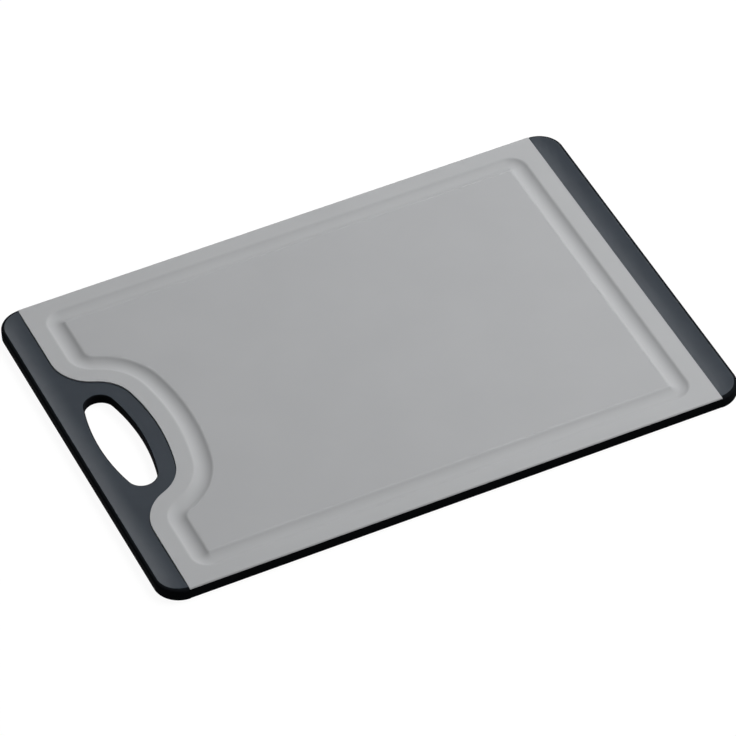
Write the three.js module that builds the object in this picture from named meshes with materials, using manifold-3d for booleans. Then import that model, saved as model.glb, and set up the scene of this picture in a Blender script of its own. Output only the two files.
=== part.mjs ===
// Plastic cutting board: a light panel with a juice groove, soft grips moulded over its two ends and
// soft bands keyed into its two long walls. Millimetres, +Z up. The origin is the middle of the board
// on the surface that it lies on, and the end with the grip hole points along -X.
import * as THREE from 'three';
import { mergeVertices } from 'three/addons/utils/BufferGeometryUtils.js';
import Module from 'manifold-3d';

// Board
const length = 360;
const width = 250;
const height = 8;
const cornerRadius = 15.5;
const rubberLift = 0.5; // the rubber reaches this far below the panel, so that the board stands on it
const seam = 0.3; // clearance between the panel and the rubber

// Panel
const panelEdgeRadius = 1.4;
const lipThickness = 0.7; // panel left over each edge band

// Juice groove
const grooveWidth = 10.5;
const grooveDepth = 1.8;
const grooveInset = 11.4; // from the long edges and from the plain end's border
const grooveHandleInset = 10; // from the handle's border
const grooveCornerRadius = 0.5; // on the groove's inner edge
const grooveRootRadius = 6.5; // on the inner edge, where the groove turns off round the handle

// Soft ends
const stripWidth = 15.5; // from each end of the board to the straight part of the border
const gripEdgeRadius = 2; // along the top
const gripFootRadius = 1; // along the bottom
const rimWidth = 2.2; // outer edge of each soft end, level with the panel
const dishRun = 10.8; // slope from the rim down to the flat that the grip hole is in
const dishDepth = 0.8; // of that flat, below the panel

// Grip hole, an oval of four arcs
const holeLength = 78.8;
const holeWidth = 25.5;
const holeSideRadius = 130;
const holeFromEnd = 14.3;
const holeEdgeRadius = 0.6;

// Border of the handle, which swells round the hole
const bulgeWall = 11; // rubber between the hole and the border's crown
const bulgeFlank = 35.2; // along Y, from the end of the hole to where the border runs straight again
const bulgeShoulderRadius = 25;
const bulgeCrownRadius = 140;

// Tongue of the panel inside the soft ends, with windows that the rubber fills
const tongueThickness = 3.2;
const tongueCover = 4; // rubber outside the tongue's outer edge
const holeCover = 3.5; // rubber between the tongue and the hole
const windowLength = 20;
const windowWidth = 5;
const windowSpacing = 15;
const windowWall = 5; // tongue between the grip hole's lining and the first window beside it

// Edge bands, each with a dovetail key
const bandDepth = 2.2;
const bandEdgeRadius = 1;
const keyDepth = 2.4;
const keyNeck = 1.6;
const keyHead = 2.8;

// Fineness of the facets, and the most of a plate's thickness that one rounded edge may take
const arcSteps = 5;
const edgeSteps = 3;
const grooveSteps = 8;
const dishSteps = 5;
const edgeShare = 0.45;

// Places that follow from the sizes
const borderX = length / 2 - stripWidth;
const holeX = holeFromEnd + holeWidth / 2 - length / 2;
const crownX = holeX + holeWidth / 2 + bulgeWall;
const bulgeHalfSpan = holeLength / 2 + bulgeFlank;
const bulgeRootRadius = grooveRootRadius + grooveWidth + grooveHandleInset;
const windowX = length / 2 - (stripWidth + tongueCover) / 2;
const windowPitch = windowLength + windowSpacing;
const flankWindowY = holeLength / 2 + holeCover + windowWall + windowLength / 2;
const straightEnd = width / 2 - cornerRadius;
const endWindowCount = Math.floor((2 * straightEnd + windowSpacing) / windowPitch);
const flankWindowCount = Math.floor((straightEnd - flankWindowY - windowLength / 2) / windowPitch) + 1;

const wasm = await Module();
wasm.setup();

function solid(geometry) {
  geometry.deleteAttribute('normal');
  geometry.deleteAttribute('uv');
  const merged = mergeVertices(geometry);
  const vertProperties = new Float32Array(merged.getAttribute('position').array);
  const triVerts = new Uint32Array(merged.getIndex().array);
  return new wasm.Manifold(new wasm.Mesh({ numProp: 3, vertProperties, triVerts }));
}

function prism(shape, bottom, top) {
  const options = { depth: top - bottom, bevelEnabled: false, curveSegments: arcSteps };
  return solid(new THREE.ExtrudeGeometry(shape, options).translate(0, 0, bottom));
}

// A plate whose top and bottom edges are rounded, no further than its thickness allows
function roundedPlate(shape, bottom, top, edgeRadius) {
  const radius = Math.min(edgeRadius, edgeShare * (top - bottom));
  const options = {
    depth: top - bottom - 2 * radius,
    bevelThickness: radius,
    bevelSize: radius,
    bevelOffset: -radius,
    bevelSegments: edgeSteps,
    curveSegments: arcSteps,
  };
  return solid(new THREE.ExtrudeGeometry(shape, options).translate(0, 0, bottom + radius));
}

// Points along an arc, clockwise where the angle falls
function arc(x, y, radius, from, to) {
  return new THREE.EllipseCurve(x, y, radius, radius, from, to, from > to).getPoints(2 * arcSteps);
}

function boardOutline(inset) {
  const radius = cornerRadius - inset;
  const x = length / 2 - cornerRadius;
  const y = width / 2 - cornerRadius;
  const outline = new THREE.Shape();
  outline.absarc(x, -y, radius, -Math.PI / 2, 0);
  outline.absarc(x, y, radius, 0, Math.PI / 2);
  outline.absarc(-x, y, radius, Math.PI / 2, Math.PI);
  outline.absarc(-x, -y, radius, Math.PI, 1.5 * Math.PI);
  return outline.closePath();
}

function gripHole(outset) {
  const halfLength = holeLength / 2;
  const sideOffset = holeSideRadius - holeWidth / 2;
  const endRadius =
    (holeSideRadius ** 2 - sideOffset ** 2 - halfLength ** 2) / (2 * (holeSideRadius - halfLength));
  const endY = halfLength - endRadius;
  const turn = Math.atan2(endY, sideOffset);
  const hole = new THREE.Path();
  hole.absarc(holeX - sideOffset, 0, holeSideRadius + outset, -turn, turn);
  hole.absarc(holeX, endY, endRadius + outset, turn, Math.PI - turn);
  hole.absarc(holeX + sideOffset, 0, holeSideRadius + outset, Math.PI - turn, Math.PI + turn);
  hole.absarc(holeX, -endY, endRadius + outset, Math.PI + turn, 2 * Math.PI - turn);
  return hole.closePath();
}

// Points of the handle's border from +Y to -Y: root, shoulder, crown, shoulder and root, each arc tangent
// to the one before, from which it takes its first point. The inset moves it towards the board's middle.
function handleBorder(inset) {
  const root = new THREE.Vector2(bulgeRootRadius - borderX, bulgeHalfSpan);
  const crown = new THREE.Vector2(crownX - bulgeCrownRadius, 0);
  const toRoot = root.clone().sub(crown);
  const span = toRoot.length();
  const inner = bulgeCrownRadius - bulgeShoulderRadius;
  const outer = bulgeRootRadius + bulgeShoulderRadius;
  const fold = Math.acos((inner ** 2 + span ** 2 - outer ** 2) / (2 * inner * span));
  const crownTurn = Math.atan2(toRoot.y, toRoot.x) - fold;
  const shoulder = new THREE.Vector2(Math.cos(crownTurn), Math.sin(crownTurn));
  shoulder.multiplyScalar(inner).add(crown);
  const rootTurn = Math.atan2(root.y - shoulder.y, root.x - shoulder.x);

  const rootRadius = bulgeRootRadius - inset;
  const shoulderRadius = bulgeShoulderRadius + inset;
  return [
    ...arc(root.x, root.y, rootRadius, Math.PI, Math.PI + rootTurn),
    ...arc(shoulder.x, shoulder.y, shoulderRadius, rootTurn, crownTurn).slice(1),
    ...arc(crown.x, crown.y, bulgeCrownRadius + inset, crownTurn, -crownTurn).slice(1),
    ...arc(shoulder.x, -shoulder.y, shoulderRadius, -crownTurn, -rootTurn).slice(1),
    ...arc(root.x, -root.y, rootRadius, Math.PI - rootTurn, Math.PI).slice(1),
  ];
}

// Everything on the handle's side of its border, moved towards the panel by the clearance
function handleZone(clearance) {
  const zone = new THREE.Shape([
    new THREE.Vector2(-length, width),
    new THREE.Vector2(clearance - borderX, width),
    ...handleBorder(clearance),
    new THREE.Vector2(clearance - borderX, -width),
    new THREE.Vector2(-length, -width),
  ]);
  return prism(zone, -height, 2 * height);
}

function endZone(clearance) {
  const zone = new THREE.Shape();
  zone.moveTo(borderX - clearance, -width);
  zone.lineTo(length, -width);
  zone.lineTo(length, width);
  zone.lineTo(borderX - clearance, width);
  return prism(zone.closePath(), -height, 2 * height);
}

function windowSlot(x, y, clearance) {
  const radius = windowWidth / 2 - clearance;
  const reach = (windowLength - windowWidth) / 2;
  const slot = new THREE.Path();
  slot.absarc(x, y + reach, radius, 0, Math.PI);
  slot.absarc(x, y - reach, radius, Math.PI, 2 * Math.PI);
  return slot.closePath();
}

function windowSlots(clearance) {
  const slots = [];
  for (let i = 0; i < endWindowCount; i += 1) {
    slots.push(windowSlot(windowX, (i - (endWindowCount - 1) / 2) * windowPitch, clearance));
  }
  for (let i = 0; i < flankWindowCount; i += 1) {
    const y = flankWindowY + i * windowPitch;
    slots.push(windowSlot(-windowX, y, clearance), windowSlot(-windowX, -y, clearance));
  }
  return slots;
}

function tongue(clearance) {
  const plate = boardOutline(tongueCover - clearance);
  plate.holes.push(gripHole(holeCover - clearance), ...windowSlots(clearance));
  const half = tongueThickness / 2 + clearance;
  return prism(plate, height / 2 - half, height / 2 + half);
}

// Room above the soft ends, which slope down from their rims to a flat below the panel
function dish() {
  const points = boardOutline(rimWidth).getPoints(arcSteps).map(({ x, y }) => [x, y, 2 * height]);
  for (let i = 0; i <= dishSteps; i += 1) {
    const rise = i / dishSteps;
    const z = height - dishDepth * (1 - rise ** 2);
    for (const { x, y } of boardOutline(rimWidth + dishRun * (1 - rise)).getPoints(arcSteps)) {
      points.push([x, y, z]);
    }
  }
  return wasm.Manifold.hull(points);
}

// Plate that both soft ends are cut from, rounder along its top edge than along its bottom edge
function softPlate() {
  const topped = roundedPlate(boardOutline(0), -height, height, gripEdgeRadius);
  const footed = roundedPlate(boardOutline(0), 0, 2 * height, gripFootRadius);
  return topped.intersect(footed);
}

// Slab larger than the board, with the grip hole through it. It is rounded round the hole at the level of
// the dish's flat, and full height a little further out.
function holedSlab() {
  const rounded = boardOutline(-cornerRadius);
  rounded.holes.push(gripHole(0));
  const full = boardOutline(-cornerRadius);
  full.holes.push(gripHole(2 * holeEdgeRadius));
  return roundedPlate(rounded, 0, height - dishDepth, holeEdgeRadius).add(prism(full, height / 2, height));
}

// Line round the panel at a distance in from the groove's outer edge
function grooveLine(across) {
  const radius = grooveCornerRadius + grooveWidth - across;
  const right = borderX - grooveInset - across - radius;
  const left = grooveHandleInset + across + radius - borderX;
  const side = width / 2 - grooveInset - across - radius;
  return [
    ...arc(right, -side, radius, -Math.PI / 2, 0),
    ...arc(right, side, radius, 0, Math.PI / 2),
    ...arc(left, side, radius, Math.PI / 2, Math.PI),
    ...handleBorder(grooveHandleInset + across),
    ...arc(left, -side, radius, Math.PI, 1.5 * Math.PI),
  ];
}

// Closed ring with the groove's round-bottomed section below the panel's top and room to spare above it
function grooveCutter() {
  const roundRadius = (grooveWidth ** 2 / 4 + grooveDepth ** 2) / (2 * grooveDepth);
  const rings = [];
  for (let i = 0; i <= grooveSteps; i += 1) {
    const across = (grooveWidth * i) / grooveSteps;
    const drop = Math.sqrt(roundRadius ** 2 - (across - grooveWidth / 2) ** 2) - roundRadius + grooveDepth;
    rings.push({ line: grooveLine(across), z: height - drop });
  }
  rings.push({ line: grooveLine(grooveWidth), z: height + grooveDepth });
  rings.push({ line: grooveLine(0), z: height + grooveDepth });

  const count = rings[0].line.length;
  const positions = rings.flatMap(({ line, z }) => line.flatMap((point) => [point.x, point.y, z]));
  const index = [];
  for (let ring = 0; ring < rings.length; ring += 1) {
    const next = (ring + 1) % rings.length;
    for (let i = 0; i < count; i += 1) {
      const j = (i + 1) % count;
      const a = ring * count + i;
      const b = ring * count + j;
      const c = next * count + i;
      const d = next * count + j;
      index.push(a, c, b, b, c, d);
    }
  }
  const geometry = new THREE.BufferGeometry();
  geometry.setAttribute('position', new THREE.Float32BufferAttribute(positions, 3));
  geometry.setIndex(index);
  return solid(geometry);
}

// Band for the wall at +Y, drawn as its section in Y and Z and run along X
function edgeBand(clearance) {
  const outer = width / 2 + clearance;
  const inner = width / 2 - bandDepth - clearance;
  const bottom = -clearance;
  const top = height - lipThickness - seam + clearance;
  const middle = (top + bottom) / 2;
  const neck = keyNeck / 2 + clearance;
  const head = keyHead / 2 + clearance;
  const edge = bandEdgeRadius + clearance;
  const section = new THREE.Shape();
  section.moveTo(inner, middle - neck);
  section.lineTo(inner, bottom);
  section.absarc(outer - edge, bottom + edge, edge, -Math.PI / 2, 0);
  section.lineTo(outer, top);
  section.lineTo(inner, top);
  section.lineTo(inner, middle + neck);
  section.lineTo(inner - keyDepth, middle + head);
  section.lineTo(inner - keyDepth, middle - head);
  section.closePath();

  const run = 2 * (borderX - seam + clearance);
  const options = { depth: run, bevelEnabled: false, curveSegments: arcSteps };
  const geometry = new THREE.ExtrudeGeometry(section, options).translate(0, 0, -run / 2);
  const alongX = new THREE.Matrix4().makeBasis(
    new THREE.Vector3(0, 1, 0),
    new THREE.Vector3(0, 0, 1),
    new THREE.Vector3(1, 0, 0),
  );
  return geometry.applyMatrix4(alongX);
}

function rearBand(clearance) {
  return solid(edgeBand(clearance));
}

function frontBand(clearance) {
  return solid(edgeBand(clearance).rotateZ(Math.PI));
}

function cuttingPanel() {
  return roundedPlate(boardOutline(0), rubberLift, height, panelEdgeRadius)
    .subtract(handleZone(seam))
    .subtract(endZone(seam))
    .add(tongue(0))
    .subtract(rearBand(seam))
    .subtract(frontBand(seam))
    .subtract(grooveCutter());
}

function handleGrip() {
  return softPlate()
    .intersect(holedSlab())
    .intersect(handleZone(0))
    .subtract(tongue(seam))
    .subtract(dish());
}

function endGrip() {
  return softPlate()
    .intersect(endZone(0))
    .subtract(tongue(seam))
    .subtract(dish());
}

function piece(name, body, material) {
  const { vertProperties, triVerts } = body.getMesh();
  const geometry = new THREE.BufferGeometry();
  geometry.setAttribute('position', new THREE.BufferAttribute(vertProperties, 3));
  geometry.setIndex(new THREE.BufferAttribute(triVerts, 1));
  geometry.computeVertexNormals();
  const mesh = new THREE.Mesh(geometry, material);
  mesh.name = name;
  return mesh;
}

function panelPlastic() {
  const finish = { color: 0xa8aaab, roughness: 0.55, metalness: 0, flatShading: true };
  return new THREE.MeshStandardMaterial(finish);
}

function softRubber() {
  const finish = { color: 0x454c52, roughness: 0.7, metalness: 0, flatShading: true };
  return new THREE.MeshStandardMaterial(finish);
}

const outlinePrism = prism(boardOutline(0), 0, height);
const board = new THREE.Group();
board.name = 'cutting_board';
board.add(
  piece('cutting_panel', cuttingPanel(), panelPlastic()),
  piece('handle_grip', handleGrip(), softRubber()),
  piece('end_grip', endGrip(), softRubber()),
  piece('front_edge_band', frontBand(0).intersect(outlinePrism), softRubber()),
  piece('rear_edge_band', rearBand(0).intersect(outlinePrism), softRubber()),
);

export default board;
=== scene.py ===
import math

import bmesh
import bpy
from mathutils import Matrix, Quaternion, Vector


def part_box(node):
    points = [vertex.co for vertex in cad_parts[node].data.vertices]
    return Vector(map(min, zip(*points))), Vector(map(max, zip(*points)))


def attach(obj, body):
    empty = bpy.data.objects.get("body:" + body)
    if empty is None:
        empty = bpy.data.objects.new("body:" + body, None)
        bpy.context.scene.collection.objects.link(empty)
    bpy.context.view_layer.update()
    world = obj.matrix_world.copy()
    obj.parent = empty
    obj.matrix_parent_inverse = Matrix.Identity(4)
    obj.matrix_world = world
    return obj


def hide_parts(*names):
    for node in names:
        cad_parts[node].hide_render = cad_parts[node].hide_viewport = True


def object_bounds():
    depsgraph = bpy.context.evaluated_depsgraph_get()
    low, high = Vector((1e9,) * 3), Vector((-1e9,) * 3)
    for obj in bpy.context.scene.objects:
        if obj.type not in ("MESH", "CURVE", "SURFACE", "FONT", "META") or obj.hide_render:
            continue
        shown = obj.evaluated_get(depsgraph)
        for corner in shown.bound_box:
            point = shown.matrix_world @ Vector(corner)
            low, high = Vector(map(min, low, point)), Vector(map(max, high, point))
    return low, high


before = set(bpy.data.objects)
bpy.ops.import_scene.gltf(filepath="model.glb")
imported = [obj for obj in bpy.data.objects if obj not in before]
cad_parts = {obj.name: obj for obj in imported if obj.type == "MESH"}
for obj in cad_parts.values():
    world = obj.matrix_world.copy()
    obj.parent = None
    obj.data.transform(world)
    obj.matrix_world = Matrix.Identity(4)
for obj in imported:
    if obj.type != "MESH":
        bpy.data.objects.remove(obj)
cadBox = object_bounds()
mm = 0.001
collection = bpy.context.scene.collection

# Places that the frame gives
boardLow, boardHigh = cadBox
halfLength = boardHigh.x
halfWidth = boardHigh.y
topZ = boardHigh.z
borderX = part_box("end_grip")[0].x  # straight border between the panel and either soft end
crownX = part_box("handle_grip")[1].x  # where the handle's border reaches furthest into the panel
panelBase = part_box("cutting_panel")[0].z
print("frame loaded, board box", [round(value, 4) for value in (*boardLow, *boardHigh)])

# Camera at the photograph's angle, level apart from a slight roll
viewpoint = {
    "azimuth": -23.069,
    "elevation": 44.06,
    "roll": 2.763,
    "distance": 3.07881,
    "target": (-2.44 * mm, -7.69 * mm, 4 * mm),
    "lens": 263.46,
}


def buildCamera():
    data = bpy.data.cameras.new("camera")
    data.lens = viewpoint["lens"]
    data.sensor_width = 36
    camera = bpy.data.objects.new("camera", data)
    collection.objects.link(camera)
    azimuth = math.radians(viewpoint["azimuth"])
    elevation = math.radians(viewpoint["elevation"])
    level = math.cos(elevation)
    look = Vector((-math.sin(azimuth) * level, math.cos(azimuth) * level, -math.sin(elevation)))
    camera.location = Vector(viewpoint["target"]) - look * viewpoint["distance"]
    roll = Quaternion((0, 0, 1), -math.radians(viewpoint["roll"]))
    camera.rotation_mode = "QUATERNION"
    camera.rotation_quaternion = look.to_track_quat("-Z", "Y") @ roll
    bpy.context.scene.camera = camera
    print("camera set, lens", data.lens)


buildCamera()


# Outlines, as lists of (x, y)
def arcPoints(x, y, radius, start, end, steps):
    angles = [start + (end - start) * i / steps for i in range(steps + 1)]
    return [(x + radius * math.cos(angle), y + radius * math.sin(angle)) for angle in angles]


handleEdge = {
    "rootRadius": 27 * mm,
    "shoulderRadius": 25 * mm,
    "crownRadius": 140 * mm,
    "halfSpan": 74.6 * mm,  # along Y, from the middle to where the border runs straight again
    "arcSteps": 20,
}


# Border of the handle from +Y to -Y in five tangent arcs, moved into the panel by the inset
def handleBorder(inset):
    rootRadius = handleEdge["rootRadius"]
    shoulderRadius = handleEdge["shoulderRadius"]
    crownRadius = handleEdge["crownRadius"]
    steps = handleEdge["arcSteps"]
    root = Vector((rootRadius - borderX, handleEdge["halfSpan"]))
    crown = Vector((crownX - crownRadius, 0))
    toRoot = root - crown
    inner = crownRadius - shoulderRadius
    outer = rootRadius + shoulderRadius
    fold = math.acos((inner**2 + toRoot.length_squared - outer**2) / (2 * inner * toRoot.length))
    crownTurn = math.atan2(toRoot.y, toRoot.x) - fold
    shoulder = crown + inner * Vector((math.cos(crownTurn), math.sin(crownTurn)))
    rootTurn = math.atan2(root.y - shoulder.y, root.x - shoulder.x)

    rootRadius -= inset
    shoulderRadius += inset
    crownRadius += inset
    points = arcPoints(*root, rootRadius, math.pi, math.pi + rootTurn, steps)
    points += arcPoints(*shoulder, shoulderRadius, rootTurn, crownTurn, steps)[1:]
    points += arcPoints(*crown, crownRadius, crownTurn, -crownTurn, 2 * steps)[1:]
    points += arcPoints(shoulder.x, -shoulder.y, shoulderRadius, -crownTurn, -rootTurn, steps)[1:]
    points += arcPoints(root.x, -root.y, rootRadius, math.pi - rootTurn, math.pi, steps)[1:]
    return points


# Inset of a rounded edge at height z, where the edge's flat lies at flatZ
def roundIn(z, flatZ, radius):
    reach = radius - abs(flatZ - z)
    if reach <= 0:
        return 0.0
    return radius - math.sqrt(max(radius**2 - reach**2, 0))


# Heights that follow a rounded edge from wall to flat; turn is 1 for a top edge and -1 for a bottom edge
def roundHeights(flatZ, radius, steps, turn):
    angles = [math.pi / 2 * i / steps for i in range(steps + 1)]
    return [flatZ - turn * radius * (1 - math.sin(angle)) for angle in angles]


weld = 0.001 * mm  # points closer than this are one
sharpAngle = math.radians(35)  # edges that turn further than this are drawn sharp
secondFinish = 1  # index of a piece's second material


# Mesh helpers
def addRing(mesh, outline, z):
    return [mesh.verts.new((x, y, z)) for x, y in outline]


def skin(mesh, rings, finish=0):
    for lower, upper in zip(rings, rings[1:]):
        for i in range(len(lower)):
            j = (i + 1) % len(lower)
            mesh.faces.new((lower[i], lower[j], upper[j], upper[i])).material_index = finish


def ringEdges(mesh, ring):
    return [mesh.edges.get((ring[i - 1], ring[i])) for i in range(len(ring))]


def fillBetween(mesh, outerRing, innerRing, normal):
    edges = ringEdges(mesh, outerRing) + ringEdges(mesh, innerRing)
    bmesh.ops.triangle_fill(mesh, use_beauty=True, edges=edges, normal=normal)


def finishPiece(name, mesh, materials, node):
    bmesh.ops.recalc_face_normals(mesh, faces=mesh.faces)
    data = bpy.data.meshes.new(name)
    mesh.to_mesh(data)
    mesh.free()
    data.shade_smooth()
    data.set_sharp_from_angle(angle=sharpAngle)
    for material in materials:
        data.materials.append(material)
    piece = bpy.data.objects.new(name, data)
    collection.objects.link(piece)
    weighted = piece.modifiers.new("weightedNormals", "WEIGHTED_NORMAL")
    weighted.weight = 100
    weighted.keep_sharp = True
    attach(piece, "root")
    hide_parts(node)
    print("built", name, len(data.polygons), "faces")


# Fine moulded surface that both plastics share: grain for bump and gloss, cloud for slow changes of tone
def buildMouldedFinish():
    group = bpy.data.node_groups.new("mouldedFinish", "ShaderNodeTree")
    for name, start in (("Grain Scale", 2500), ("Cloud Scale", 30)):
        socket = group.interface.new_socket(name, in_out="INPUT", socket_type="NodeSocketFloat")
        socket.default_value = start
    for name in ("Grain", "Cloud", "Speckle"):
        group.interface.new_socket(name, in_out="OUTPUT", socket_type="NodeSocketFloat")
    nodes, links = group.nodes, group.links
    given = nodes.new("NodeGroupInput")
    result = nodes.new("NodeGroupOutput")
    place = nodes.new("ShaderNodeTexCoord")
    for name, scaleName, detail in (("Grain", "Grain Scale", 3), ("Cloud", "Cloud Scale", 4)):
        noise = nodes.new("ShaderNodeTexNoise")
        noise.inputs["Detail"].default_value = detail
        noise.inputs["Roughness"].default_value = 0.55
        links.new(place.outputs["Object"], noise.inputs["Vector"])
        links.new(given.outputs[scaleName], noise.inputs["Scale"])
        links.new(noise.outputs["Fac"], result.inputs[name])
    cells = nodes.new("ShaderNodeTexVoronoi")
    links.new(place.outputs["Object"], cells.inputs["Vector"])
    links.new(given.outputs["Grain Scale"], cells.inputs["Scale"])
    links.new(cells.outputs["Distance"], result.inputs["Speckle"])
    return group


mouldedFinish = buildMouldedFinish()


# Shader with a two-tone colour over the cloud, gloss over the grain and bump over the look's own pattern
def buildPlastic(name, look):
    material = bpy.data.materials.new(name)
    material.use_nodes = True
    nodes, links = material.node_tree.nodes, material.node_tree.links
    shader = nodes["Principled BSDF"]
    shader.inputs["Specular IOR Level"].default_value = look["specular"]
    finish = nodes.new("ShaderNodeGroup")
    finish.node_tree = mouldedFinish
    finish.inputs["Grain Scale"].default_value = look["grainScale"]
    finish.inputs["Cloud Scale"].default_value = look["cloudScale"]

    tone = nodes.new("ShaderNodeValToRGB")
    tone.color_ramp.elements[0].position = 0.3
    tone.color_ramp.elements[0].color = (*look["darkTone"], 1)
    tone.color_ramp.elements[1].position = 0.7
    tone.color_ramp.elements[1].color = (*look["lightTone"], 1)
    links.new(finish.outputs["Cloud"], tone.inputs["Fac"])
    links.new(tone.outputs["Color"], shader.inputs["Base Color"])

    gloss = nodes.new("ShaderNodeMapRange")
    gloss.inputs["From Min"].default_value = 0.3
    gloss.inputs["From Max"].default_value = 0.7
    gloss.inputs["To Min"].default_value = look["roughness"][0]
    gloss.inputs["To Max"].default_value = look["roughness"][1]
    links.new(finish.outputs["Grain"], gloss.inputs["Value"])
    links.new(gloss.outputs["Result"], shader.inputs["Roughness"])

    bump = nodes.new("ShaderNodeBump")
    bump.inputs["Strength"].default_value = look["bumpStrength"]
    bump.inputs["Distance"].default_value = look["bumpDepth"]
    links.new(finish.outputs[look["bumpPattern"]], bump.inputs["Height"])
    links.new(bump.outputs["Normal"], shader.inputs["Normal"])
    print("material", name)
    return material


panelPlasticLook = {
    "darkTone": (0.388, 0.394, 0.402),
    "lightTone": (0.4, 0.406, 0.414),
    "roughness": (0.55, 0.66),
    "specular": 0.12,
    "grainScale": 2200,
    "cloudScale": 25,
    "bumpPattern": "Grain",
    "bumpStrength": 0.25,
    "bumpDepth": 0.03 * mm,
}
cuttingAreaLook = {  # the same plastic, finely stippled inside the groove
    **panelPlasticLook,
    "darkTone": (0.372, 0.377, 0.386),
    "lightTone": (0.384, 0.389, 0.398),
    "roughness": (0.6, 0.72),
    "grainScale": 1400,
    "bumpPattern": "Speckle",
}
softRubberLook = {
    "darkTone": (0.0245, 0.032, 0.0425),
    "lightTone": (0.028, 0.0365, 0.048),
    "roughness": (0.35, 0.43),
    "specular": 0.28,
    "grainScale": 3000,
    "cloudScale": 60,
    "bumpPattern": "Grain",
    "bumpStrength": 0.3,
    "bumpDepth": 0.04 * mm,
}
shadedRubberWallLook = {  # the same rubber, duller and darkened by painted shade down the walls
    **softRubberLook,
    "darkTone": (0.006, 0.007, 0.0085),
    "lightTone": (0.008, 0.009, 0.011),
    "roughness": (0.8, 0.9),
    "specular": 0.015,
}
panelPlastic = buildPlastic("panelPlastic", panelPlasticLook)
cuttingArea = buildPlastic("cuttingArea", cuttingAreaLook)
softRubber = buildPlastic("softRubber", softRubberLook)
# Rubber with painted shade, for walls that face away from the lamps
shadedRubberWall = buildPlastic("shadedRubberWall", shadedRubberWallLook)


panel = {
    "edgeRadius": 1.4 * mm,  # long top edges
    "seamRadius": 0.12 * mm,  # edges beside the rubber
    "lipThickness": 0.7 * mm,  # plastic over each edge band
    "bandDepth": 2.2 * mm,
    "grooveWidth": 10.5 * mm,
    "grooveDepth": 1.8 * mm,
    "grooveLip": 3 * mm,  # rounding along both edges of the groove
    "grooveInset": 11.4 * mm,  # from the long edges and the plain end's border
    "grooveHandleInset": 10 * mm,  # from the handle's border
    "grooveCornerRadius": 0.5 * mm,  # on the inner edge
    "sharpestTurn": 0.05 * mm,
    "leastStep": 0.01 * mm,  # between two heights of the lip
    "edgeSteps": 8,
    "seamSteps": 4,
    "baseSteps": 3,
    "grooveSteps": 20,
    "lipSteps": 4,
    "cornerSteps": 14,
}


def panelOutline(borderInset, sideInset):
    x = borderX - borderInset
    y = halfWidth - sideInset
    return [(x, -y), (x, y), (-x, y), *handleBorder(borderInset), (-x, -y)]


# Line round the groove at a distance in from its outer edge, which may be a little negative
def grooveLine(across):
    steps = panel["cornerSteps"]
    radius = max(panel["grooveCornerRadius"] + panel["grooveWidth"] - across, panel["sharpestTurn"])
    right = borderX - panel["grooveInset"] - across - radius
    left = panel["grooveHandleInset"] + across + radius - borderX
    side = halfWidth - panel["grooveInset"] - across - radius
    points = arcPoints(right, -side, radius, -math.pi / 2, 0, steps)
    points += arcPoints(right, side, radius, 0, math.pi / 2, steps)
    points += arcPoints(left, side, radius, math.pi / 2, math.pi, steps)
    points += handleBorder(panel["grooveHandleInset"] + across)
    points += arcPoints(left, -side, radius, math.pi, math.pi * 1.5, steps)
    return points


# Section of the groove as (across, drop): a round bottom between two rounded lips
def grooveSection():
    depth = panel["grooveDepth"]
    lip = panel["grooveLip"]
    slope = 2 * math.atan(2 * depth / panel["grooveWidth"])
    runOut = lip * math.tan(slope / 2)  # the lips start this far outside the groove's edges
    half = panel["grooveWidth"] / 2 + runOut
    slope = 2 * math.atan(depth / half)
    bottom = half / math.sin(slope) - lip
    lipSteps = panel["lipSteps"]
    section = []
    for i in range(lipSteps):
        angle = slope * i / lipSteps
        section.append((lip * math.sin(angle), lip * (1 - math.cos(angle))))
    steps = panel["grooveSteps"]
    for i in range(steps + 1):
        angle = slope * (1 - 2 * i / steps)
        section.append((half - bottom * math.sin(angle), depth - bottom * (1 - math.cos(angle))))
    for across, drop in reversed(section[:lipSteps]):
        section.append((2 * half - across, drop))
    return [(across - runOut, drop) for across, drop in section]


def buildPanel():
    mesh = bmesh.new()
    edge = panel["edgeRadius"]
    seam = panel["seamRadius"]
    channel = panel["bandDepth"]
    lipZ = topZ - panel["lipThickness"]
    base = roundHeights(panelBase, seam, panel["baseSteps"], -1)[::-1]
    levels = [(z, roundIn(z, panelBase, seam), channel) for z in base]
    levels.append((lipZ, 0, channel))
    heights = roundHeights(topZ, edge, panel["edgeSteps"], 1)
    heights += roundHeights(topZ, seam, panel["seamSteps"], 1)
    heights = [lipZ] + sorted(z for z in set(heights) if z > lipZ + panel["leastStep"])
    levels += [(z, roundIn(z, topZ, seam), roundIn(z, topZ, edge)) for z in heights]
    rings = [addRing(mesh, panelOutline(border, side), z) for z, border, side in levels]
    skin(mesh, rings)
    mesh.faces.new(rings[0][::-1])

    groove = [addRing(mesh, grooveLine(across), topZ - drop) for across, drop in grooveSection()]
    skin(mesh, groove)
    mesh.faces.new(groove[-1]).material_index = secondFinish
    fillBetween(mesh, rings[-1], groove[0], (0, 0, 1))
    bmesh.ops.remove_doubles(mesh, verts=mesh.verts, dist=weld)  # where the lip meets the borders
    finishPiece("cuttingPanel", mesh, [panelPlastic, cuttingArea], "cutting_panel")


buildPanel()

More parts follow.
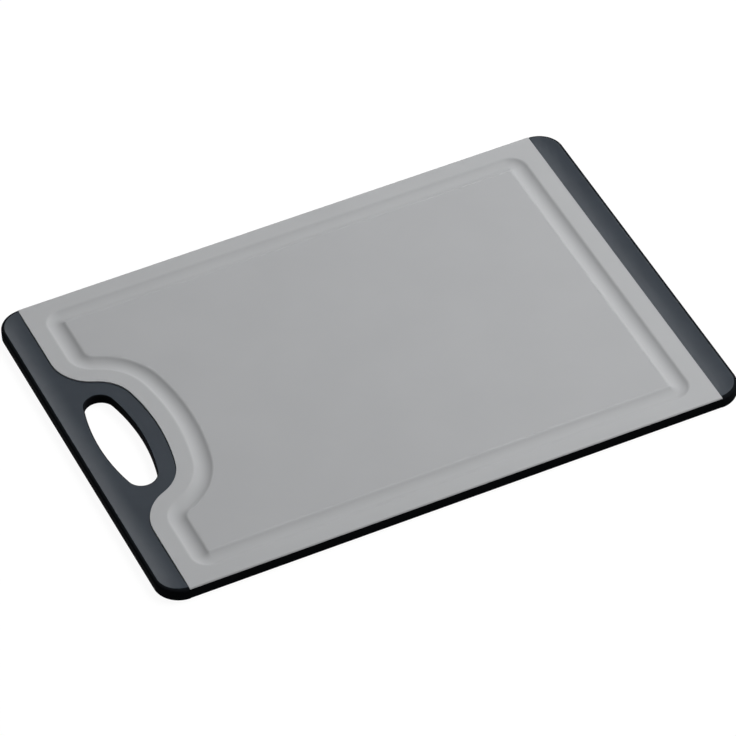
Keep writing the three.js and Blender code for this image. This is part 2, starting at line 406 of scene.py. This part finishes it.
softEnd = {
    "cornerRadius": 15.5 * mm,
    "edgeRadius": 2 * mm,  # top outer edge
    "footRadius": 1 * mm,  # bottom outer edge
    "seamRadius": 0.12 * mm,  # edge beside the panel
    "rimWidth": 2.2 * mm,  # outer edge, level with the panel
    "dishRun": 10.8 * mm,  # slope from the rim down to the flat that the hole is in
    "dishDepth": 0.8 * mm,  # of that flat, below the panel
    "dishSteps": 18,
    "holeLength": 78.8 * mm,
    "holeWidth": 25.5 * mm,
    "holeSideRadius": 130 * mm,
    "holeFromEnd": 14.3 * mm,
    "holeEdgeRadius": 0.6 * mm,
    "holeFootRadius": 1.8 * mm,  # on the underside
    "edgeSteps": 8,
    "seamSteps": 3,
    "cornerSteps": 20,
    "holeSteps": 24,
}


# Corner arcs of a soft end at -X, cut off where they reach the border
def endCorners(edgeInset, borderInset):
    radius = softEnd["cornerRadius"] - edgeInset
    x = softEnd["cornerRadius"] - halfLength
    y = halfWidth - softEnd["cornerRadius"]
    start = math.asin((borderInset + borderX + x) / radius)
    steps = softEnd["cornerSteps"]
    points = arcPoints(x, y, radius, math.pi / 2 + start, math.pi, steps)
    return points + arcPoints(x, -y, radius, math.pi, math.pi * 1.5 - start, steps)


def handleOutline(edgeInset, borderInset):
    return endCorners(edgeInset, borderInset) + handleBorder(-borderInset)[::-1]


def plainEndOutline(edgeInset, borderInset):
    return [(-x, -y) for x, y in endCorners(edgeInset, borderInset)]


# Oval of four arcs, drawn outset from the hole's wall
def holeOutline(outset):
    halfHole = softEnd["holeLength"] / 2
    sideRadius = softEnd["holeSideRadius"]
    sideOffset = sideRadius - softEnd["holeWidth"] / 2
    x = softEnd["holeFromEnd"] + softEnd["holeWidth"] / 2 - halfLength
    endRadius = (sideRadius**2 - sideOffset**2 - halfHole**2) / (2 * (sideRadius - halfHole))
    endY = halfHole - endRadius
    turn = math.atan2(endY, sideOffset)
    steps = softEnd["holeSteps"]
    points = arcPoints(x - sideOffset, 0, sideRadius + outset, -turn, turn, steps)[:-1]
    points += arcPoints(x, endY, endRadius + outset, turn, math.pi - turn, steps)[:-1]
    points += arcPoints(x + sideOffset, 0, sideRadius + outset, math.pi - turn, math.pi + turn, steps)[:-1]
    points += arcPoints(x, -endY, endRadius + outset, math.pi + turn, 2 * math.pi - turn, steps)[:-1]
    return points


# Heights of a soft end from its underside to its top, through its rounded edges
def endHeights(topRadius, footRadius):
    seam = softEnd["seamRadius"]
    steps = softEnd["edgeSteps"]
    seamSteps = softEnd["seamSteps"]
    heights = roundHeights(boardLow.z, footRadius, steps, -1) + roundHeights(topZ, topRadius, steps, 1)
    heights += roundHeights(boardLow.z, seam, seamSteps, -1) + roundHeights(topZ, seam, seamSteps, 1)
    return sorted(set(heights))


# Inset of a soft end's rounded edges at height z
def endInset(z, topRadius, footRadius):
    if z > topZ / 2:
        return roundIn(z, topZ, topRadius)
    return roundIn(z, boardLow.z, footRadius)


# Distance in from the board's outline
def inward(x, y):
    corner = softEnd["cornerRadius"]
    overX = abs(x) - halfLength + corner
    overY = abs(y) - halfWidth + corner
    if overX > 0 and overY > 0:
        return corner - math.hypot(overX, overY)
    return corner - max(overX, overY)


# Lowers the top inside the rim, after cutting the faces along the slope and along its corners
def pressDish(mesh):
    rim = softEnd["rimWidth"]
    run = softEnd["dishRun"]
    steps = softEnd["dishSteps"]
    for i in range(steps + 1):
        inset = rim + run * i / steps
        for spot in (Vector((halfLength - inset, 0, 0)), Vector((0, halfWidth - inset, 0))):
            for place in (spot, -spot):
                parts = mesh.verts[:] + mesh.edges[:] + mesh.faces[:]
                bmesh.ops.bisect_plane(mesh, geom=parts, dist=weld, plane_co=place, plane_no=spot)
    startZ = topZ - softEnd["edgeRadius"]
    for vert in mesh.verts:
        share = min(max((vert.co.z - startZ) / (topZ - startZ), 0), 1)
        rise = min(max(1 - (inward(vert.co.x, vert.co.y) - rim) / run, 0), 1)
        vert.co.z -= softEnd["dishDepth"] * (1 - rise**2) * share


def buildSoftEnd(name, outline, node, hole=None):
    mesh = bmesh.new()
    edge = softEnd["edgeRadius"]
    foot = softEnd["footRadius"]
    seam = softEnd["seamRadius"]
    rings = []
    for z in endHeights(edge, foot):
        rings.append(addRing(mesh, outline(endInset(z, edge, foot), endInset(z, seam, seam)), z))
    # The outer walls and their rounded edges take the second finish: the rubber darkened by painted shade
    skin(mesh, rings, secondFinish)
    if hole:
        rim = softEnd["holeEdgeRadius"]
        base = softEnd["holeFootRadius"]
        walls = [addRing(mesh, hole(endInset(z, rim, base)), z) for z in endHeights(rim, base)]
        # The hole's walls take the same painted shade
        skin(mesh, walls[::-1], secondFinish)
        fillBetween(mesh, rings[-1], walls[-1], (0, 0, 1))
        fillBetween(mesh, rings[0], walls[0], (0, 0, -1))
    else:
        mesh.faces.new(rings[-1])
        mesh.faces.new(rings[0][::-1])
    pressDish(mesh)
    finishPiece(name, mesh, [softRubber, shadedRubberWall], node)


buildSoftEnd("handleGrip", handleOutline, "handle_grip", holeOutline)
buildSoftEnd("endGrip", plainEndOutline, "end_grip")

edgeBand = {
    "edgeRadius": 1 * mm,  # bottom outer edge
    "seamRadius": 0.12 * mm,  # top outer edge, under the lip
    "edgeSteps": 8,
    "seamSteps": 3,
}


# Section of the band at the rear wall as (y, z), anticlockwise seen from +X
def bandSection():
    outer = halfWidth - roundIn(topZ - panel["lipThickness"], topZ, panel["edgeRadius"])
    inner = halfWidth - panel["bandDepth"]
    bottom = boardLow.z
    top = topZ - panel["lipThickness"]
    edge = edgeBand["edgeRadius"]
    seam = edgeBand["seamRadius"]
    steps = edgeBand["edgeSteps"]
    points = [(inner, bottom)]
    points += arcPoints(outer - edge, bottom + edge, edge, -math.pi / 2, 0, steps)
    points += arcPoints(outer - seam, top - seam, seam, 0, math.pi / 2, edgeBand["seamSteps"])
    points.append((inner, top))
    return points


def buildBand(name, node, turn):
    mesh = bmesh.new()
    ends = []
    for x in (-borderX, borderX):
        ends.append([mesh.verts.new((x * turn, y * turn, z)) for y, z in bandSection()])
    skin(mesh, ends)
    mesh.faces.new(ends[0][::-1])
    mesh.faces.new(ends[1])
    # The bands take the wall finish, whose near-black tone is painted shade
    finishPiece(name, mesh, [shadedRubberWall], node)


buildBand("frontBand", "front_edge_band", -1)
buildBand("rearBand", "rear_edge_band", 1)

studio = {
    "floorSize": 30,
    "floorTone": (0.08, 0.08, 0.08),  # what lights the board's walls; the camera sees white
    "floorGlow": 0.94,
    "ambient": 0.08,
    "horizon": (0.08, 0.16),  # the sky is white up to the first height and dim from the second
}
softboxes = {  # direction from the board, distance, width and height, power
    "key": ((0.55, 0.03, 0.83), 2.1, (1.05, 1.05), 47),
    "rim": ((0.433, 0.66, 0.611), 9, (1.2, 1.2), 100),
}


# Socket that gives 1 to rays that show the floor, mirrored or not, and 0 to rays that only light the board
def whiteShare(nodes, links):
    path = nodes.new("ShaderNodeLightPath")
    share = path.outputs["Is Camera Ray"]
    for name in ("Is Glossy Ray", "Is Transmission Ray"):
        larger = nodes.new("ShaderNodeMath")
        larger.operation = "MAXIMUM"
        links.new(share, larger.inputs[0])
        links.new(path.outputs[name], larger.inputs[1])
        share = larger.outputs["Value"]
    return share


def buildFloor():
    mesh = bmesh.new()
    half = studio["floorSize"] / 2
    corners = ((-half, -half), (half, -half), (half, half), (-half, half))
    mesh.faces.new(addRing(mesh, corners, 0))
    data = bpy.data.meshes.new("floor")
    mesh.to_mesh(data)
    mesh.free()
    material = bpy.data.materials.new("floor")
    material.use_nodes = True
    nodes, links = material.node_tree.nodes, material.node_tree.links
    shader = nodes["Principled BSDF"]
    shader.inputs["Base Color"].default_value = (*studio["floorTone"], 1)
    shader.inputs["Roughness"].default_value = 1
    shader.inputs["Specular IOR Level"].default_value = 0
    shader.inputs["Emission Color"].default_value = (1, 1, 1, 1)
    glow = nodes.new("ShaderNodeMath")
    glow.operation = "MULTIPLY"
    glow.inputs[1].default_value = studio["floorGlow"]
    links.new(whiteShare(nodes, links), glow.inputs[0])
    links.new(glow.outputs["Value"], shader.inputs["Emission Strength"])
    data.materials.append(material)
    floor = bpy.data.objects.new("floor", data)
    collection.objects.link(floor)


def buildLights():
    world = bpy.data.worlds.new("studio")
    bpy.context.scene.world = world
    world.use_nodes = True
    nodes, links = world.node_tree.nodes, world.node_tree.links
    sky = nodes["Background"]
    sky.inputs["Color"].default_value = (1, 1, 1, 1)
    place = nodes.new("ShaderNodeTexCoord")
    split = nodes.new("ShaderNodeSeparateXYZ")
    strength = nodes.new("ShaderNodeMapRange")  # white low down, and dim above
    strength.inputs["From Min"].default_value = studio["horizon"][0]
    strength.inputs["From Max"].default_value = studio["horizon"][1]
    strength.inputs["To Min"].default_value = 1
    strength.inputs["To Max"].default_value = studio["ambient"]
    links.new(place.outputs["Generated"], split.inputs["Vector"])
    links.new(split.outputs["Z"], strength.inputs["Value"])
    links.new(strength.outputs["Result"], sky.inputs["Strength"])

    for name, (toward, distance, size, power) in softboxes.items():
        data = bpy.data.lights.new(name, "AREA")
        data.shape = "RECTANGLE"
        data.size, data.size_y = size
        data.energy = power
        softbox = bpy.data.objects.new(name, data)
        direction = Vector(toward).normalized()
        softbox.location = direction * distance
        softbox.rotation_mode = "QUATERNION"
        softbox.rotation_quaternion = (-direction).to_track_quat("-Z", "Y")
        collection.objects.link(softbox)
    print("studio lit")


buildFloor()
buildLights()
bpy.context.scene.view_settings.view_transform = "Standard"
